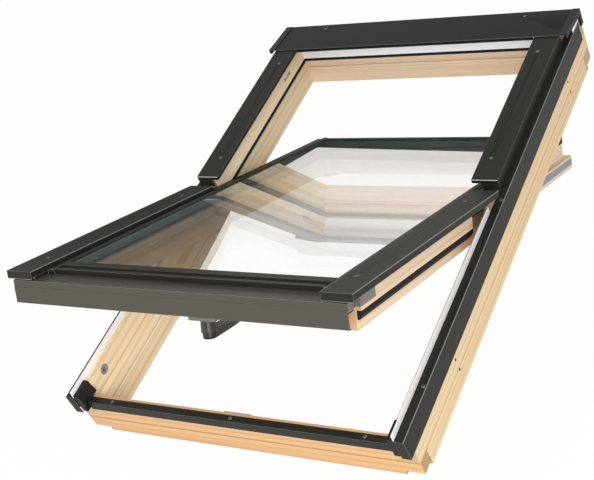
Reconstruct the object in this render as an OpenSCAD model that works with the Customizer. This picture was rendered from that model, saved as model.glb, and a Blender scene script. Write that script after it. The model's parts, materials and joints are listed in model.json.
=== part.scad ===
// Centre pivot roof window: timber frame and sash, aluminium covers, double glazing.
// X runs across the window, Y up the roof slope and Z out of the roof.
// The origin is the middle of the frame on its room side.

/* [Frame timber] */
// Outside width of the frame
frame_w = 780; // [660:10:1140]
// Outside length of the frame, up the slope
frame_l = 1180; // [980:10:1400]
// Depth of the frame timber, room side to roof side
frame_d = 126; // [110:1:150]
// Thickness of a jamb behind the sash
jamb_t = 32; // [28:1:34]
// Projection of the lower stop from the jamb
low_stop_w = 9; // [7:0.5:11]
// Distance of the lower stop's top below the frame's outer face
low_stop_drop = 46; // [46:1:54]
// Fall of the lower stop's weathered top
low_stop_fall = 6; // [2:0.5:10]
// Distance from the pivot down to the end of the lower stop
low_stop_gap = 30; // [24:1:60]
// Projection of the upper stop batten from the jamb
up_stop_w = 20; // [18:0.5:21]
// Distance of the upper stops' underside below the frame's outer face
up_stop_drop = 33; // [28:0.5:34]
// Distance from the pivot up to the end of the upper stop batten
up_stop_gap = 40; // [36:1:60]
// Thickness of the head rail
head_t = 42; // [38:1:46]
// Projection of the stop on the head rail
head_stop_w = 17; // [13:1:18]
// Height of the head stop above the frame's outer face
head_stop_rise = 18.8; // [14:0.2:20]
// Thickness of the sill rail at the room face
sill_t = 31; // [28:1:32]
// Width of the sill's flat top
sill_top_w = 18; // [16:0.5:20]
// Distance of the sill's top below the frame's outer face
sill_drop = 28; // [28:1:36]
// Distance from the sill's top to where its inner face leans back
sill_knee = 34; // [24:1:42]
// Number of layers in a finger joint
finger_n = 3; // [3:2:5]
// Length of the corner recess across the window
recess_x = 40; // [36:1:60]
// Length of the corner recess up the slope
recess_y = 30; // [20:1:60]
// Depth of the corner recess
recess_d = 10; // [6:1:14]
// Height of the lining groove above the room face
line_z = 50; // [44:1:56]
// Height of the groove on the outer faces
outer_line_z = 40; // [40:0.5:44]
// Width of a groove in the timber
groove_w = 2; // [1:0.5:4]
// Depth of a groove in the timber
groove_d = 1.5; // [1:0.5:3]

/* [Fixing holes] */
// Diameter of a fixing hole in the jamb
fix_d = 4; // [3:0.5:5]
// Depth of a fixing hole
fix_depth = 25; // [15:1:28]
// Distance of the lower pair of fixing holes from the bottom of the frame
fix_low = 220; // [160:5:300]
// Distance of the upper pair of fixing holes from the top of the frame
fix_top = 157; // [120:1:260]
// Height of the first hole of a pair
fix_z = 37; // [34:0.5:37]
// Distance between the holes of a pair
fix_pitch_z = 29; // [24:1:34]

/* [Frame covers] */
// Thickness of the folded aluminium sheet
sheet_t = 1.2; // [0.8:0.1:1.4]
// Height of the side flange of a jamb cover
flange_h = 49.2; // [42:0.2:52]
// Projection of a jamb cover past the sill
end_reach = 17.2; // [16:0.2:20]
// Distance of a jamb cover's top end from the top of the frame
cover_top_gap = 20; // [16:1:40]
// Width of the top face of a jamb cover
cover_top_w = 19.2; // [16:0.2:20]
// Thickness of the silver weather strip
strip_t = 1.2; // [0.8:0.1:1.4]
// Height of the weather strip above the jamb
strip_h = 17; // [12:0.5:18]
// Width of the weather strip's foot
strip_foot = 9; // [6:0.5:12]
// Distance from the pivot down to the end of the weather strip
strip_gap = 27; // [26:1:60]
// Height of an upper cover's top above the frame's outer face
hood_rise = 31.5; // [30:0.5:32]
// Width of an upper cover
hood_w = 59; // [56:0.5:60]
// Distance of an upper cover's outer edge from the frame's side
hood_inset = 13; // [12:0.5:15]
// Depth of an upper cover's inner lip
hood_lip = 9.5; // [6:0.5:10]
// Distance from the pivot up to the end of an upper cover
hood_gap = 33; // [33:0.5:38]
// Distance of an upper cover's top end from the top of the frame
hood_top_gap = 102; // [98:1:104]
// Length of the head cover
head_cover_l = 108; // [106:1:112]
// Height of the head cover's front edge over the upper covers
head_cover_rise = 1.8; // [1:0.1:3]
// Fall of the head cover towards its back
head_cover_fall = 10.5; // [6:0.5:11]
// Depth of the head cover's front lip
head_lip = 8.3; // [6:0.1:9]
// Gap between the head cover's front lip and an upper cover
head_lip_gap = 2; // [1:0.5:6]
// Height of the head cover's back flange
head_back_h = 46; // [35:1:60]
// Thickness of a head cover end cap
cap_t = 5; // [4:0.5:8]
// Width of an end cap's rim on the head cover
cap_rim = 12; // [6:0.5:20]
// Thickness of an end cap's rim
cap_rim_t = 1.2; // [0.8:0.1:2]
// Depth of an end cap's front
cap_front = 9; // [7:0.5:10]
// Depth of an end cap's leg at the back
cap_leg_h = 37; // [30:1:44]
// Width of an end cap's leg
cap_leg_w = 13; // [9:0.5:16]
// Distance of the sill cover's front from the sill
sill_cover_gap = 2.8; // [2:0.2:5]
// Width of the sill cover's top on the sill
sill_cover_w = 12; // [10:0.5:15]
// Height of the sill cover's front
sill_cover_h = 22; // [16:1:26]
// Distance of the sill cover's ends from the jambs
sill_cover_in = 0.4; // [0.2:0.1:2]
// Height of a corner block above the jamb
block_h = 5; // [3:0.5:6]
// Length of a corner block behind the sill's front
block_l = 28; // [24:1:30]
// Distance of a corner block's foot below the sill's top
block_foot_drop = 16; // [10:1:20]
// Reach of a corner block's hollow face at the sill
block_belly = 6; // [4:0.5:8]

/* [Frame seals and fittings] */
// Thickness of the gasket on the jambs
gasket_t = 8.5; // [7:0.5:10]
// Distance of the gasket's lower edge below the frame's outer face
gasket_drop = 50; // [46:1:64]
// Height of the gasket
gasket_h = 11; // [8:1:14]
// Thickness of the gasket on the head
head_gasket_t = 10; // [8:0.5:15]
// Step between the gasket's sides and its head
gasket_step = 2; // [1:0.5:4]
// Diameter of the bolt bush in the left jamb
bush_d = 24; // [18:1:28]
// Depth of the bolt bush
bush_depth = 10; // [6:1:14]
// Bore of the bolt bush
bush_bore = 10; // [9:0.5:12]
// Floor of the bolt bush
bush_floor = 2; // [1:0.5:3]
// Distance of the bolt bush from the bottom of the frame
bush_up = 78; // [72:1:86]
// Distance of the bolt bush below the frame's outer face
bush_drop = 19; // [16:1:26]
// Width of the striker plate on the sill
striker_w = 62; // [50:1:80]
// Height of the striker plate
striker_h = 24; // [20:1:30]
// Thickness of the striker plate
striker_t = 2; // [1.5:0.5:3]
// Room round the latch tongue in the striker's slot
striker_play = 1.5; // [1:0.5:3]
// Length of the catch on the left batten
catch_l = 34; // [24:1:40]
// Height of the catch
catch_h = 8; // [6:1:14]
// Thickness of the catch
catch_t = 1; // [0.8:0.1:1.4]
// Distance of the catch from the top of the frame
catch_top_gap = 174; // [150:1:210]
// Distance of the catch's lower edge below the frame's outer face
catch_drop = 16; // [6:1:28]

/* [Pivot] */
// Place of the pivot up the slope
pivot_y = -13; // [-16:1:-10]
// Height of the pivot above the frame's outer face
pivot_rise = 16; // [15:0.5:17]
// Angle to which the sash stands open, in degrees
open_angle = 28.6; // [0:0.1:90]
// Diameter of the pivot pin
pin_d = 10; // [8:0.5:12]
// Radial clearance of a pin in its bore
pin_play = 0.05; // [0.03:0.01:0.1]
// Radius of the hinge eye
eye_r = 10.5; // [9:0.5:11]
// Radius of the collar and of the bracket's eye
collar_r = 9; // [7:0.5:9]
// Thickness of a hinge plate
plate_t = 4; // [3:0.5:4]
// Length of the hinge collar
collar_l = 12; // [8:0.5:14]
// Length of the hinge plate below the pivot
plate_low = 38; // [30:1:40]
// Length of the hinge plate above the pivot
plate_up = 26; // [20:1:30]
// Distance from the pivot to the plate's lower edge
plate_bottom = 49; // [45:1:49]
// Reach of the hinge plate's neck above the pivot line
plate_neck = 3; // [1:0.5:4]
// Distance from the pivot to the lower end of the bracket
bracket_low = 67; // [60:1:68]
// Distance from the pivot to the upper end of the bracket
bracket_up = 14; // [12:1:16]
// Distances from the pivot to the bracket's edges
bracket_w = [34, 2]; // [2:1:40]
// Projection of the pin past the hinge plate
pin_end = 2; // [1:0.5:6]

/* [Sash timber] */
// Gap between the sash's wide lower part and the jamb
sash_gap = 2; // [1.5:0.1:3]
// Gap between the sash's lip and the lower stop
lip_gap = 4; // [3:0.1:5]
// Gap between the sash's upper part and the upper stop
up_gap = 3; // [2.5:0.1:4]
// Distance of the sash's room face below the pivot
sash_room_w = 81; // [78:0.5:84]
// Distance of the lip's outer face below the pivot
lip_w = 51; // [50:0.5:54]
// Distance of the wide part's underside below the pivot
wide_w = 44; // [43:0.5:46]
// Height of the sash covers' seat above the pivot
seat_w = 12; // [11.5:0.1:12.2]
// Gap between the sash's lip and the head stop
lip_top_gap = 4; // [3:0.5:10]
// Length of the lip past the sash's outer part at the top
lip_reach = 30; // [24:1:36]
// Gap between the sash's lip and the sill
lip_front_gap = 6; // [5:0.5:10]
// Length of the sash's nose over the sill
nose_l = 60; // [50:1:64]
// Distance from the pivot down to the end of the wide part
wide_end = 70; // [68:1:90]
// Inset of the nose from the wide part
nose_in = 9; // [9:0.5:14]
// Distance of the nose's underside below the pivot
nose_w = 38; // [36:0.5:38.5]
// Distance of the bottom rail's top below the pivot
rail_top_w = 6.4; // [6:0.1:8]
// Width of a stile at the room side
stile_w = 49; // [44:1:56]
// Width of the top rail at the room side
top_rail_w = 74; // [66:1:84]
// Width of the bottom rail at the room side
bottom_rail_w = 70; // [62:1:80]

/* [Glazing] */
// Thickness of a glass pane
pane_t = 4; // [3:0.5:5]
// Width of the gas space between the panes
space_t = 16; // [12:1:18]
// Height of the outer glass face above the pivot
glass_top_w = 2; // [1.5:0.1:2.5]
// Cover of the glass on the stiles
glass_bite = 22; // [18:1:24]
// Cover of the glass on the top rail
glass_top_bite = 39; // [30:1:40]
// Cover of the glass on the bottom rail
glass_low_bite = 60; // [50:1:62]
// Clearance round the glass
glass_gap = 1; // [0.5:0.1:2]
// Width of the spacer bar
spacer_w = 12; // [8:0.5:14]
// Width of a glazing bead on the glass
bead_w = 14; // [10:0.5:16]
// Height of a glazing bead over the glass
bead_h = 3; // [2:0.2:3.4]
// Rounding of a glazing bead
bead_round = 1.5; // [0.5:0.1:2]
// Thickness of a bead's wing over the timber
wing_t = 3.2; // [2.2:0.1:3.6]
// Length of the side beads past the glass at the front
bead_front = 36; // [30:1:40]
// Gap between neighbouring covers and beads
cover_gap = 0.4; // [0.2:0.05:0.6]

/* [Sash covers] */
// Overhang of a lower sash cover past the wide part
cover_over = 29; // [24:0.5:30]
// Width of a lower sash cover
sash_cover_w = 63; // [60:0.5:64]
// Depth of a lower sash cover's outer flange
sash_flange = 13.2; // [8:0.2:14]
// Length of a lower sash cover past the pivot
cover_past = 4; // [0:0.5:4]
// Gap from the sash timber to the covers' front
apron_gap = 7.8; // [6:0.2:10]
// Height of the apron's upper face
apron_up_h = 13; // [10:0.5:18]
// Height of the apron's lower face
apron_low_h = 32; // [24:1:32]
// Width of the apron past the nose
apron_over = 25; // [16:1:27]
// Length of the apron's flat on the bottom rail
apron_flat = 37; // [28:1:37]
// Length of the turned lower edge of the apron
apron_hem = 5; // [3:0.5:8]
// Width of the bottom profile's outer ridge
ridge_w = 9; // [6:0.5:11]
// Width of the bottom profile's groove
gutter_w = 16; // [10:0.5:16]
// Depth of the bottom profile's groove
gutter_d = 6; // [4:0.5:7]
// Slope of the groove's sides
gutter_lean = 2; // [1:0.5:3]
// Thickness of a side corner plate
corner_plate_t = 1; // [0.8:0.1:1.4]
// Length of a corner plate along the sash's side, behind the nose
corner_plate_l = 53; // [30:1:80]
// Distance of a corner plate's edge from the nose's edges
corner_plate_in = 2; // [1:0.5:4]
// Depth of the upper trim's flange
trim_flange = 14; // [8:0.5:20]
// Distance from the pivot to the start of the trim's flange
trim_start = 19; // [16:1:30]
// Distance of the lip strip from the lip's outer face
lip_strip_in = 6; // [4:0.5:10]
// Height of the strip on the lip's side
lip_strip_h = 15; // [10:0.5:20]
// Distance from the pivot to the start of the lip strip
lip_strip_start = 60; // [40:1:100]
// Distance of the lip strip from the top of the lip
lip_strip_end = 5; // [3:1:20]
// Height of the sash seal
seal_h = 18; // [14:0.5:18]
// Height of the seal under the nose
bottom_seal_h = 3.6; // [2:0.2:4]
// Width of the seal under the nose
bottom_seal_w = 20; // [12:1:22]

/* [Handle and bolts] */
// Place of the handle and latch across the window
latch_x = 8; // [-20:1:20]
// Width of the handle base
base_w = 64; // [50:1:70]
// Length of the handle base
base_l = 44; // [36:1:52]
// Distance of the handle base from the rail's front edge
base_in = 6; // [4:0.5:10]
// Thickness of the handle base
base_t = 10; // [8:0.5:12]
// Corner radius of the handle base
base_r = 8; // [3:0.5:14]
// Diameter of the handle spindle
spindle_d = 8; // [6:0.5:10]
// Diameter of the handle neck at the base
neck_d = 28; // [20:1:30]
// Diameter of the handle neck at the grip
neck_end_d = 32; // [22:1:34]
// Length of the handle neck
neck_l = 27; // [20:1:30]
// Length of the handle grip
grip_l = 125; // [90:5:140]
// Width of the handle grip
grip_w = 28; // [24:1:30]
// Thickness of the handle grip
grip_t = 12; // [9:0.5:14]
// Rise of the grip's underside towards its tip
grip_rise = 5; // [2:0.5:6]
// Width of the latch tongue
tongue_w = 18; // [14:1:22]
// Thickness of the latch tongue
tongue_t = 8; // [6:0.5:9]
// Length of the latch tongue
tongue_l = 50; // [40:1:52]
// Distance of the latch tongue from the sash's room face
tongue_in = 25; // [22:1:28]
// Room behind the latch tongue
tongue_room = 2; // [1:0.5:4]
// Gap round a sliding piece
slide_gap = 0.3; // [0.2:0.05:0.5]
// Diameter of the cleaning bolt
bolt_d = 8; // [6:0.5:8.5]
// Diameter of the cleaning bolt's knob
knob_d = 12; // [10:0.5:13]
// Length of the cleaning bolt's knob
knob_l = 10; // [6:0.5:14]
// Length of the cleaning bolt's housing
case_l = 40; // [32:1:48]
// Width of the cleaning bolt's housing
case_w = 16; // [14:0.5:20]
// Height of the cleaning bolt's housing
case_h = 14; // [13:0.5:18]
// Corner radius of the cleaning bolt's housing
case_r = 4; // [2:0.5:6]
// Travel of the cleaning bolt
bolt_travel = 11; // [8:0.5:11]

/* [Screws] */
// Diameter of a cover screw's head
screw_d = 8; // [6:0.5:9]
// Height of a cover screw's head
screw_h = 1.6; // [1.2:0.1:1.8]
// Diameter of a cover screw's shank
shank_d = 3.5; // [2.5:0.1:4.5]
// Clearance of a shank in its hole
shank_play = 0.2; // [0.1:0.05:0.4]
// Distance of the upper cover screws from the batten's inner face
hood_screw_in = 4; // [3:0.5:10]
// Distances of the upper cover screws from the cover's ends
hood_screw_ends = [65, 57]; // [40:1:80]
// Distance of the jamb cover screws from the frame's side
side_screw_in = 5; // [5:0.5:8]
// Distance of a jamb cover's lower screw from the bottom of the frame
side_screw_low = 107.4; // [60:0.2:160]
// Distance of a jamb cover's upper screw from the pivot
side_screw_up = 5.6; // [3:0.1:8]
// Distance of the outer sill screws from the sill cover's ends
sill_screw_end = 61.6; // [30:0.2:100]
// Distance of the sill screws from the sill's front
sill_screw_in = 4.6; // [4:0.1:6]
// Distance of the head cover screws from the frame's sides
head_screw_end = 122; // [60:1:180]
// Distance of the head cover screws from the top of the frame
head_screw_in = 18; // [12:1:40]
// Distance of the sash cover screws from the wide part's side
cover_screw_in = 7.4; // [5:0.1:12]
// Distance of a sash cover's upper screw from the pivot
cover_screw_up = 79; // [40:1:90]
// Distance of a sash cover's lower screw from the sash's front
cover_screw_low = 72; // [30:1:120]
// Distance of the bottom profile's screws from its ends
gutter_screw_end = 94.6; // [40:0.2:150]
// Distances of the bracket screws from the pivot
bracket_screw_v = [34, 54]; // [24:1:60]

/* [Hidden] */
$fn = 48;
timber = [0.87, 0.72, 0.52];
dark_cover = [0.23, 0.23, 0.21];
black_rubber = [0.06, 0.06, 0.06];
bright_metal = [0.8, 0.81, 0.82];
slate_metal = [0.42, 0.47, 0.53];
grey_metal = [0.55, 0.55, 0.54];
brass = [0.72, 0.6, 0.36];
pane_green = [0.75, 0.85, 0.84, 0.4];

// Frame places, right hand side
half_w = frame_w / 2;
half_l = frame_l / 2;
low_stop_h = frame_d - low_stop_drop;
up_stop_z = frame_d - up_stop_drop;
head_stop_z = frame_d + head_stop_rise;
sill_h = frame_d - sill_drop;
sill_knee_z = sill_h - sill_knee;
hood_z = frame_d + hood_rise;
block_foot_z = sill_h - block_foot_drop;
gasket_z = frame_d - gasket_drop;
bush_z = frame_d - bush_drop;
catch_y = half_l - catch_top_gap;
catch_z = frame_d - catch_drop;
pivot_z = frame_d + pivot_rise;
fix_y = [fix_low - half_l, half_l - fix_top];
jamb_x = half_w - jamb_t;
low_stop_x = jamb_x - low_stop_w;
up_stop_x = jamb_x - up_stop_w;
head_y = half_l - head_t;
head_stop_y = head_y - head_stop_w;
finger_h = frame_d / finger_n;
hood_top = hood_z - sheet_t;
hood_out_x = half_w - hood_inset;
hood_in_x = hood_out_x - hood_w;
hood_y0 = pivot_y + hood_gap;
hood_y1 = half_l - hood_top_gap;
cover_z = frame_d + strip_t;
cover_top_z = cover_z + sheet_t;
cover_in_x = half_w + sheet_t - cover_top_w;
strip_x = cover_in_x - strip_t - cover_gap;
cover_front_y = -half_l - end_reach;
end_inside_y = cover_front_y + sheet_t;
head_front_y = half_l - head_cover_l;
head_front_z = hood_z + head_cover_rise;
head_back_z = head_front_z - head_cover_fall;
head_slope = atan(head_cover_fall / head_cover_l);
sill_cover_y = -half_l - sill_cover_gap;
sill_cover_x = jamb_x - sill_cover_in;
sill_cover_top = sill_h + sheet_t;
block_x = strip_x - cover_gap / 2;
block_top = frame_d + block_h;
block_shares = [[0, 0], [1 / 6, 3 / 11], [2 / 3, 7 / 11], [1, 1]];
block_low = sill_cover_top + cover_gap;
block_curve = [for (s = block_shares) [block_belly * s[0], block_top - (block_top - block_low) * s[1]]];
bush_y = bush_up - half_l;
bush_v = pivot_y - bush_y;
sill_screw_x = sill_cover_x - sill_screw_end;
head_screw_x = half_w - head_screw_end;
sill_lean = [sill_t - sill_top_w, sill_knee_z - sill_h];
sill_edge = [sill_top_w - half_l, sill_h];

// Sash places: v runs up the sash from the pivot and w out of it
wide_x = jamb_x - sash_gap;
lip_x = low_stop_x - lip_gap;
up_x = up_stop_x - up_gap;
nose_x = wide_x - nose_in;
stile_in_x = lip_x - stile_w;
lip_top_v = head_stop_y - lip_top_gap - pivot_y;
top_v = lip_top_v - lip_reach;
lip_front_v = sill_t + lip_front_gap - half_l - pivot_y;
front_v = lip_front_v - nose_l;
glass_x = stile_in_x + glass_bite;
glass_top_v = lip_top_v - top_rail_w + glass_top_bite;
glass_low_v = lip_front_v + bottom_rail_w - glass_low_bite;
glass_low_w = glass_top_w - 2 * pane_t - space_t;
rebate_x = glass_x + glass_gap;
cover_out_x = wide_x + cover_over;
cover_in = cover_out_x - sash_cover_w;
seat_x = cover_in + sheet_t;
cover_top_w0 = seat_w + sheet_t;
apron_v = front_v - apron_gap;
apron_x = nose_x + apron_over;
apron_top_w = sheet_t - rail_top_w;
fold_w = apron_top_w - apron_up_h;
bead_top_w = glass_top_w + bead_h;
bead_in_x = glass_x - bead_w - cover_gap;
profile_v = front_v + apron_flat + cover_gap;
handle_v = lip_front_v + base_l / 2 + base_in;
base_low_w = -sash_room_w - base_t;
tongue_low_w = tongue_in - sash_room_w;
bolt_w = -sash_room_w - case_h / 2;
bolt_v = sqrt(pow(bush_v, 2) + pow(pivot_z - bush_z, 2) - pow(bolt_w, 2));
case_x = case_l / 8 - lip_x;
bracket_x = up_x + plate_t;
plate_x = jamb_x - plate_t;
plate_top = frame_d - pivot_z;
bore_d = pin_d + 2 * pin_play;
spindle_bore_d = spindle_d + 2 * pin_play;
bolt_bore_d = bolt_d + 2 * pin_play;
hole_d = shank_d + 2 * shank_play;

hood_screw_y = [hood_y0 + hood_screw_ends[0], hood_y1 - hood_screw_ends[1]];
hood_screws = [for (y = hood_screw_y) [up_stop_x + hood_screw_in, y, hood_z]];
side_screw_y = [side_screw_low - half_l, pivot_y + side_screw_up];
side_screws = [for (y = side_screw_y) [half_w - side_screw_in, y, cover_top_z]];
sill_screws = [for (s = [-1, 0, 1]) [s * sill_screw_x, sill_screw_in - half_l, sill_cover_top]];
head_screw_y = half_l - head_screw_in;
head_screw_z = head_back_z + head_screw_in * tan(head_slope) + sheet_t / cos(head_slope);
head_screws = [for (s = [-1, 1]) [s * head_screw_x, head_screw_y, head_screw_z]];
cover_screw_v = [-cover_screw_up, front_v + cover_screw_low];
cover_screws = [for (v = cover_screw_v) [wide_x - cover_screw_in, v, cover_top_w0]];
gutter_screw_x = bead_in_x - gutter_screw_end;
gutter_screw_v = profile_v + ridge_w + gutter_w / 2;

// Folded sheet: a path on the inner face, with the sheet on its left
function unit(a) = a / norm(a);
function left_of(a) = [-a[1], a[0]];
function side_of(p, i) = left_of(unit(p[i + 1] - p[i]));
function mitred(p, i, t) =
    let (a = side_of(p, max(i - 1, 0)), b = side_of(p, min(i, len(p) - 2)))
    p[i] + t * (a + b) / (1 + a * b);
function folded(p, t) = concat(p, [for (i = [len(p) - 1:-1:0]) mitred(p, i, t)]);

// Outline drawn in X and Z, run along Y
module along_y(y0, y1)
    translate([0, y1, 0]) rotate([90, 0, 0]) linear_extrude(y1 - y0) children();

// Outline drawn in Y and Z, run along X
module along_x(x0, x1)
    translate([x0, 0, 0]) rotate([90, 0, 90]) linear_extrude(x1 - x0) children();

// Cylinder along X
module round_x(x0, x1, d)
    translate([x0, 0, 0]) rotate([0, 90, 0]) cylinder(d = d, h = x1 - x0);

module block(low, high) translate(low) cube(high - low);

module left() mirror([1, 0, 0]) children();

module both_sides() {
    children();
    left() children();
}

module in_sash() translate([0, pivot_y, pivot_z]) rotate([-open_angle, 0, 0]) children();

module screw() {
    translate([0, 0, -sheet_t]) cylinder(d = shank_d, h = sheet_t + screw_h / 2);
    cylinder(d1 = screw_d, d2 = screw_d - screw_h, h = screw_h);
}

module screw_hole() translate([0, 0, -2 * sheet_t]) cylinder(d = hole_d, h = 3 * sheet_t);

// Timber frame
module jamb_whole() {
    block([jamb_x, -half_l, 0], [half_w, half_l, frame_d]);
    along_y(-half_l, pivot_y - low_stop_gap) polygon([
        [jamb_x + groove_w, 0], [jamb_x + groove_w, low_stop_h], [jamb_x, low_stop_h],
        [low_stop_x, low_stop_h - low_stop_fall], [low_stop_x, 0]
    ]);
}

module sill_whole() along_x(-half_w, half_w) polygon([
    [-half_l, 0], [sill_t - half_l, 0], [sill_t - half_l, sill_knee_z], sill_edge, [-half_l, sill_h]
]);

module head_whole() block([-half_w, head_y, 0], [half_w, half_l, frame_d]);

// Every second layer of a corner belongs to the rail, the others to the jamb
module finger_layers(first) for (i = [first:2:finger_n - 1])
    block([-frame_w, -frame_l, i * finger_h], [frame_w, frame_l, (i + 1) * finger_h]);

module corner_recesses() both_sides() for (y = [-half_l, half_l - recess_y])
    block([half_w - recess_x, y, -recess_d], [frame_w, y + recess_y, recess_d]);

module jamb() difference() {
    jamb_whole();
    intersection() {
        union() {
            sill_whole();
            head_whole();
        }
        finger_layers(0);
    }
    corner_recesses();
    block([half_w - groove_d, -frame_l, outer_line_z], [frame_w, frame_l, outer_line_z + groove_w]);
    block([0, -frame_l, line_z], [low_stop_x + groove_d, frame_l, line_z + groove_w]);
    for (y = fix_y, z = [fix_z, fix_z + fix_pitch_z])
        translate([0, y, z]) round_x(half_w - fix_depth, frame_w, fix_d);
}

module left_jamb() color(timber) difference() {
    left() jamb();
    translate([0, bush_y, bush_z]) round_x(-jamb_x - bush_depth, bush_depth - jamb_x, bush_d);
}

module right_jamb() color(timber) jamb();

module rail_cuts() {
    intersection() {
        both_sides() jamb_whole();
        finger_layers(1);
    }
    corner_recesses();
}

module head_rail() color(timber) {
    difference() {
        head_whole();
        rail_cuts();
        block([-frame_w, 0, line_z], [frame_w, head_y + groove_d, line_z + groove_w]);
    }
    along_x(-up_stop_x, up_stop_x) polygon([
        [head_stop_y, up_stop_z], [head_y + groove_d, up_stop_z], [head_y + groove_d, frame_d],
        [head_y, frame_d], [head_y, head_stop_z], [head_stop_y, head_stop_z]
    ]);
}

// Room for the latch tongue where it enters the sill
module latch_pocket(play) block(
    [latch_x - tongue_w / 2 - play, sill_cover_w / 2 - half_l, pivot_z + tongue_low_w - play],
    [latch_x + tongue_w / 2 + play, 0, pivot_z + tongue_low_w + tongue_t + play]
);

module sill_rail() color(timber) difference() {
    sill_whole();
    rail_cuts();
    block([-frame_w, -frame_l, outer_line_z], [frame_w, groove_d - half_l, outer_line_z + groove_w]);
    block([-frame_w, sill_t - groove_d - half_l, line_z], [frame_w, 0, line_z + groove_w]);
    latch_pocket(striker_play);
}

module stop_batten() along_x(up_stop_x, jamb_x) polygon([
    [pivot_y + up_stop_gap, up_stop_z], [head_y, up_stop_z], [head_y, head_stop_z],
    [hood_y1, head_stop_z], [hood_y1, hood_top], [pivot_y + up_stop_gap, hood_top]
]);

module left_stop_batten() color(timber) left() stop_batten();

module right_stop_batten() color(timber) stop_batten();

// Folded aluminium on the frame
module jamb_cover() difference() {
    union() {
        along_y(cover_front_y, half_l - cover_top_gap) polygon(folded([
            [cover_in_x, cover_z], [half_w, cover_z], [half_w, cover_z - flange_h]
        ], sheet_t));
        block([cover_in_x, cover_front_y, cover_z - flange_h],
            [half_w + sheet_t, end_inside_y, cover_top_z]);
    }
    for (at = side_screws) translate(at) screw_hole();
}

module left_jamb_cover() color(dark_cover) left() jamb_cover();

module right_jamb_cover() color(dark_cover) jamb_cover();

module upper_cover() difference() {
    union() {
        along_y(hood_y0, hood_y1) polygon(folded([
            [hood_in_x + sheet_t, hood_z - hood_lip], [hood_in_x + sheet_t, hood_top],
            [hood_out_x - sheet_t, hood_top], [hood_out_x - sheet_t, cover_top_z]
        ], sheet_t));
        // The lower end is closed beside the sash's way
        along_y(hood_y0, hood_y0 + sheet_t) polygon([
            [hood_in_x, hood_z - hood_lip], [hood_in_x, hood_z], [hood_out_x, hood_z],
            [hood_out_x, cover_top_z], [up_stop_x, cover_top_z], [up_stop_x, hood_z - hood_lip]
        ]);
    }
    for (at = hood_screws) translate(at) screw_hole();
}

module left_upper_cover() color(dark_cover) left() upper_cover();

module right_upper_cover() color(dark_cover) upper_cover();

module head_cover() color(dark_cover) difference() {
    union() {
        along_x(-half_w, half_w) polygon(folded([
            [head_front_y, head_front_z], [half_l, head_back_z], [half_l, head_back_z - head_back_h]
        ], sheet_t));
        block([head_lip_gap - hood_in_x, head_front_y, head_front_z - head_lip],
            [hood_in_x - head_lip_gap, head_front_y + sheet_t, head_front_z + sheet_t / 2]);
    }
    for (at = head_screws) translate(at) rotate([-head_slope, 0, 0]) screw_hole();
}

// Cap on an end of the head cover, with a rim over the sheet
module end_cap() {
    lift = (sheet_t + cover_gap) * [sin(head_slope), cos(head_slope)];
    rim = folded([[head_front_y, head_front_z] + lift, [half_l, head_back_z] + lift], cap_rim_t);
    along_x(half_w, half_w + cap_t) polygon([
        [head_front_y, head_front_z - cap_front], rim[3], rim[2],
        [half_l, head_back_z - cap_leg_h], [half_l - cap_leg_w, head_back_z - cap_leg_h],
        [half_l - cap_leg_w, head_back_z - cap_front]
    ]);
    along_x(half_w - cap_rim, half_w + cap_t / 2) polygon(rim);
}

module left_end_cap() color(black_rubber) left() end_cap();

module right_end_cap() color(black_rubber) end_cap();

module sill_cover() color(dark_cover) difference() {
    along_x(-sill_cover_x, sill_cover_x) polygon(folded([
        [sill_cover_y, sill_h - sill_cover_h], [sill_cover_y, sill_h], [sill_cover_w - half_l, sill_h]
    ], sheet_t));
    for (at = sill_screws) translate(at) screw_hole();
}

// Moulded block that closes the corner between a jamb cover and the sill cover
module corner_block() {
    curve = [for (p = block_curve) [jamb_x - p[0], p[1]]];
    along_y(end_inside_y + cover_gap, -half_l) polygon(concat(
        [[block_x, block_foot_z], [block_x, block_top]], curve, [[jamb_x, block_low], [jamb_x, block_foot_z]]
    ));
    along_y(-half_l - sheet_t, block_l - half_l) polygon(concat(
        [[block_x, frame_d], [block_x, block_top]], curve, [[jamb_x, block_low], [jamb_x, frame_d]]
    ));
}

module left_corner_block() color(black_rubber) left() corner_block();

module right_corner_block() color(black_rubber) corner_block();

// Upright silver strip with its foot under the jamb cover
module weather_strip() along_y(end_inside_y + cover_gap, pivot_y - strip_gap) polygon(folded([
    [strip_x + strip_t, frame_d + strip_h], [strip_x + strip_t, cover_z], [strip_x + strip_foot, cover_z]
], -strip_t));

module left_weather_strip() color(bright_metal) left() weather_strip();

module right_weather_strip() color(bright_metal) weather_strip();

module head_strip() color(bright_metal) {
    along_x(-up_stop_x, up_stop_x) polygon(folded([
        [head_stop_y, up_stop_z], [head_stop_y, head_stop_z], [half_l, head_stop_z]
    ], sheet_t));
    both_sides() along_y(head_stop_y, half_l) polygon(folded([
        [up_stop_x - sheet_t, head_stop_z], [half_w - sheet_t, head_stop_z], [half_w - sheet_t, cover_top_z]
    ], sheet_t));
}

// Seals and fittings on the frame
module frame_gasket() color(black_rubber) {
    both_sides() along_y(pivot_y - strip_gap, head_y) polygon([
        [jamb_x, gasket_z], [jamb_x, gasket_z + gasket_h], [jamb_x - gasket_t / 2, gasket_z + gasket_h],
        [jamb_x - gasket_t, gasket_z + gasket_h - gasket_step], [jamb_x - gasket_t, gasket_z]
    ]);
    along_x(gasket_t / 2 - jamb_x, jamb_x - gasket_t / 2) polygon([
        [head_y, gasket_z + gasket_step], [head_y, gasket_z + gasket_h - gasket_step],
        [head_y - head_gasket_t, gasket_z + gasket_h - 2 * gasket_step],
        [head_y - head_gasket_t, gasket_z + gasket_step]
    ]);
}

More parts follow.
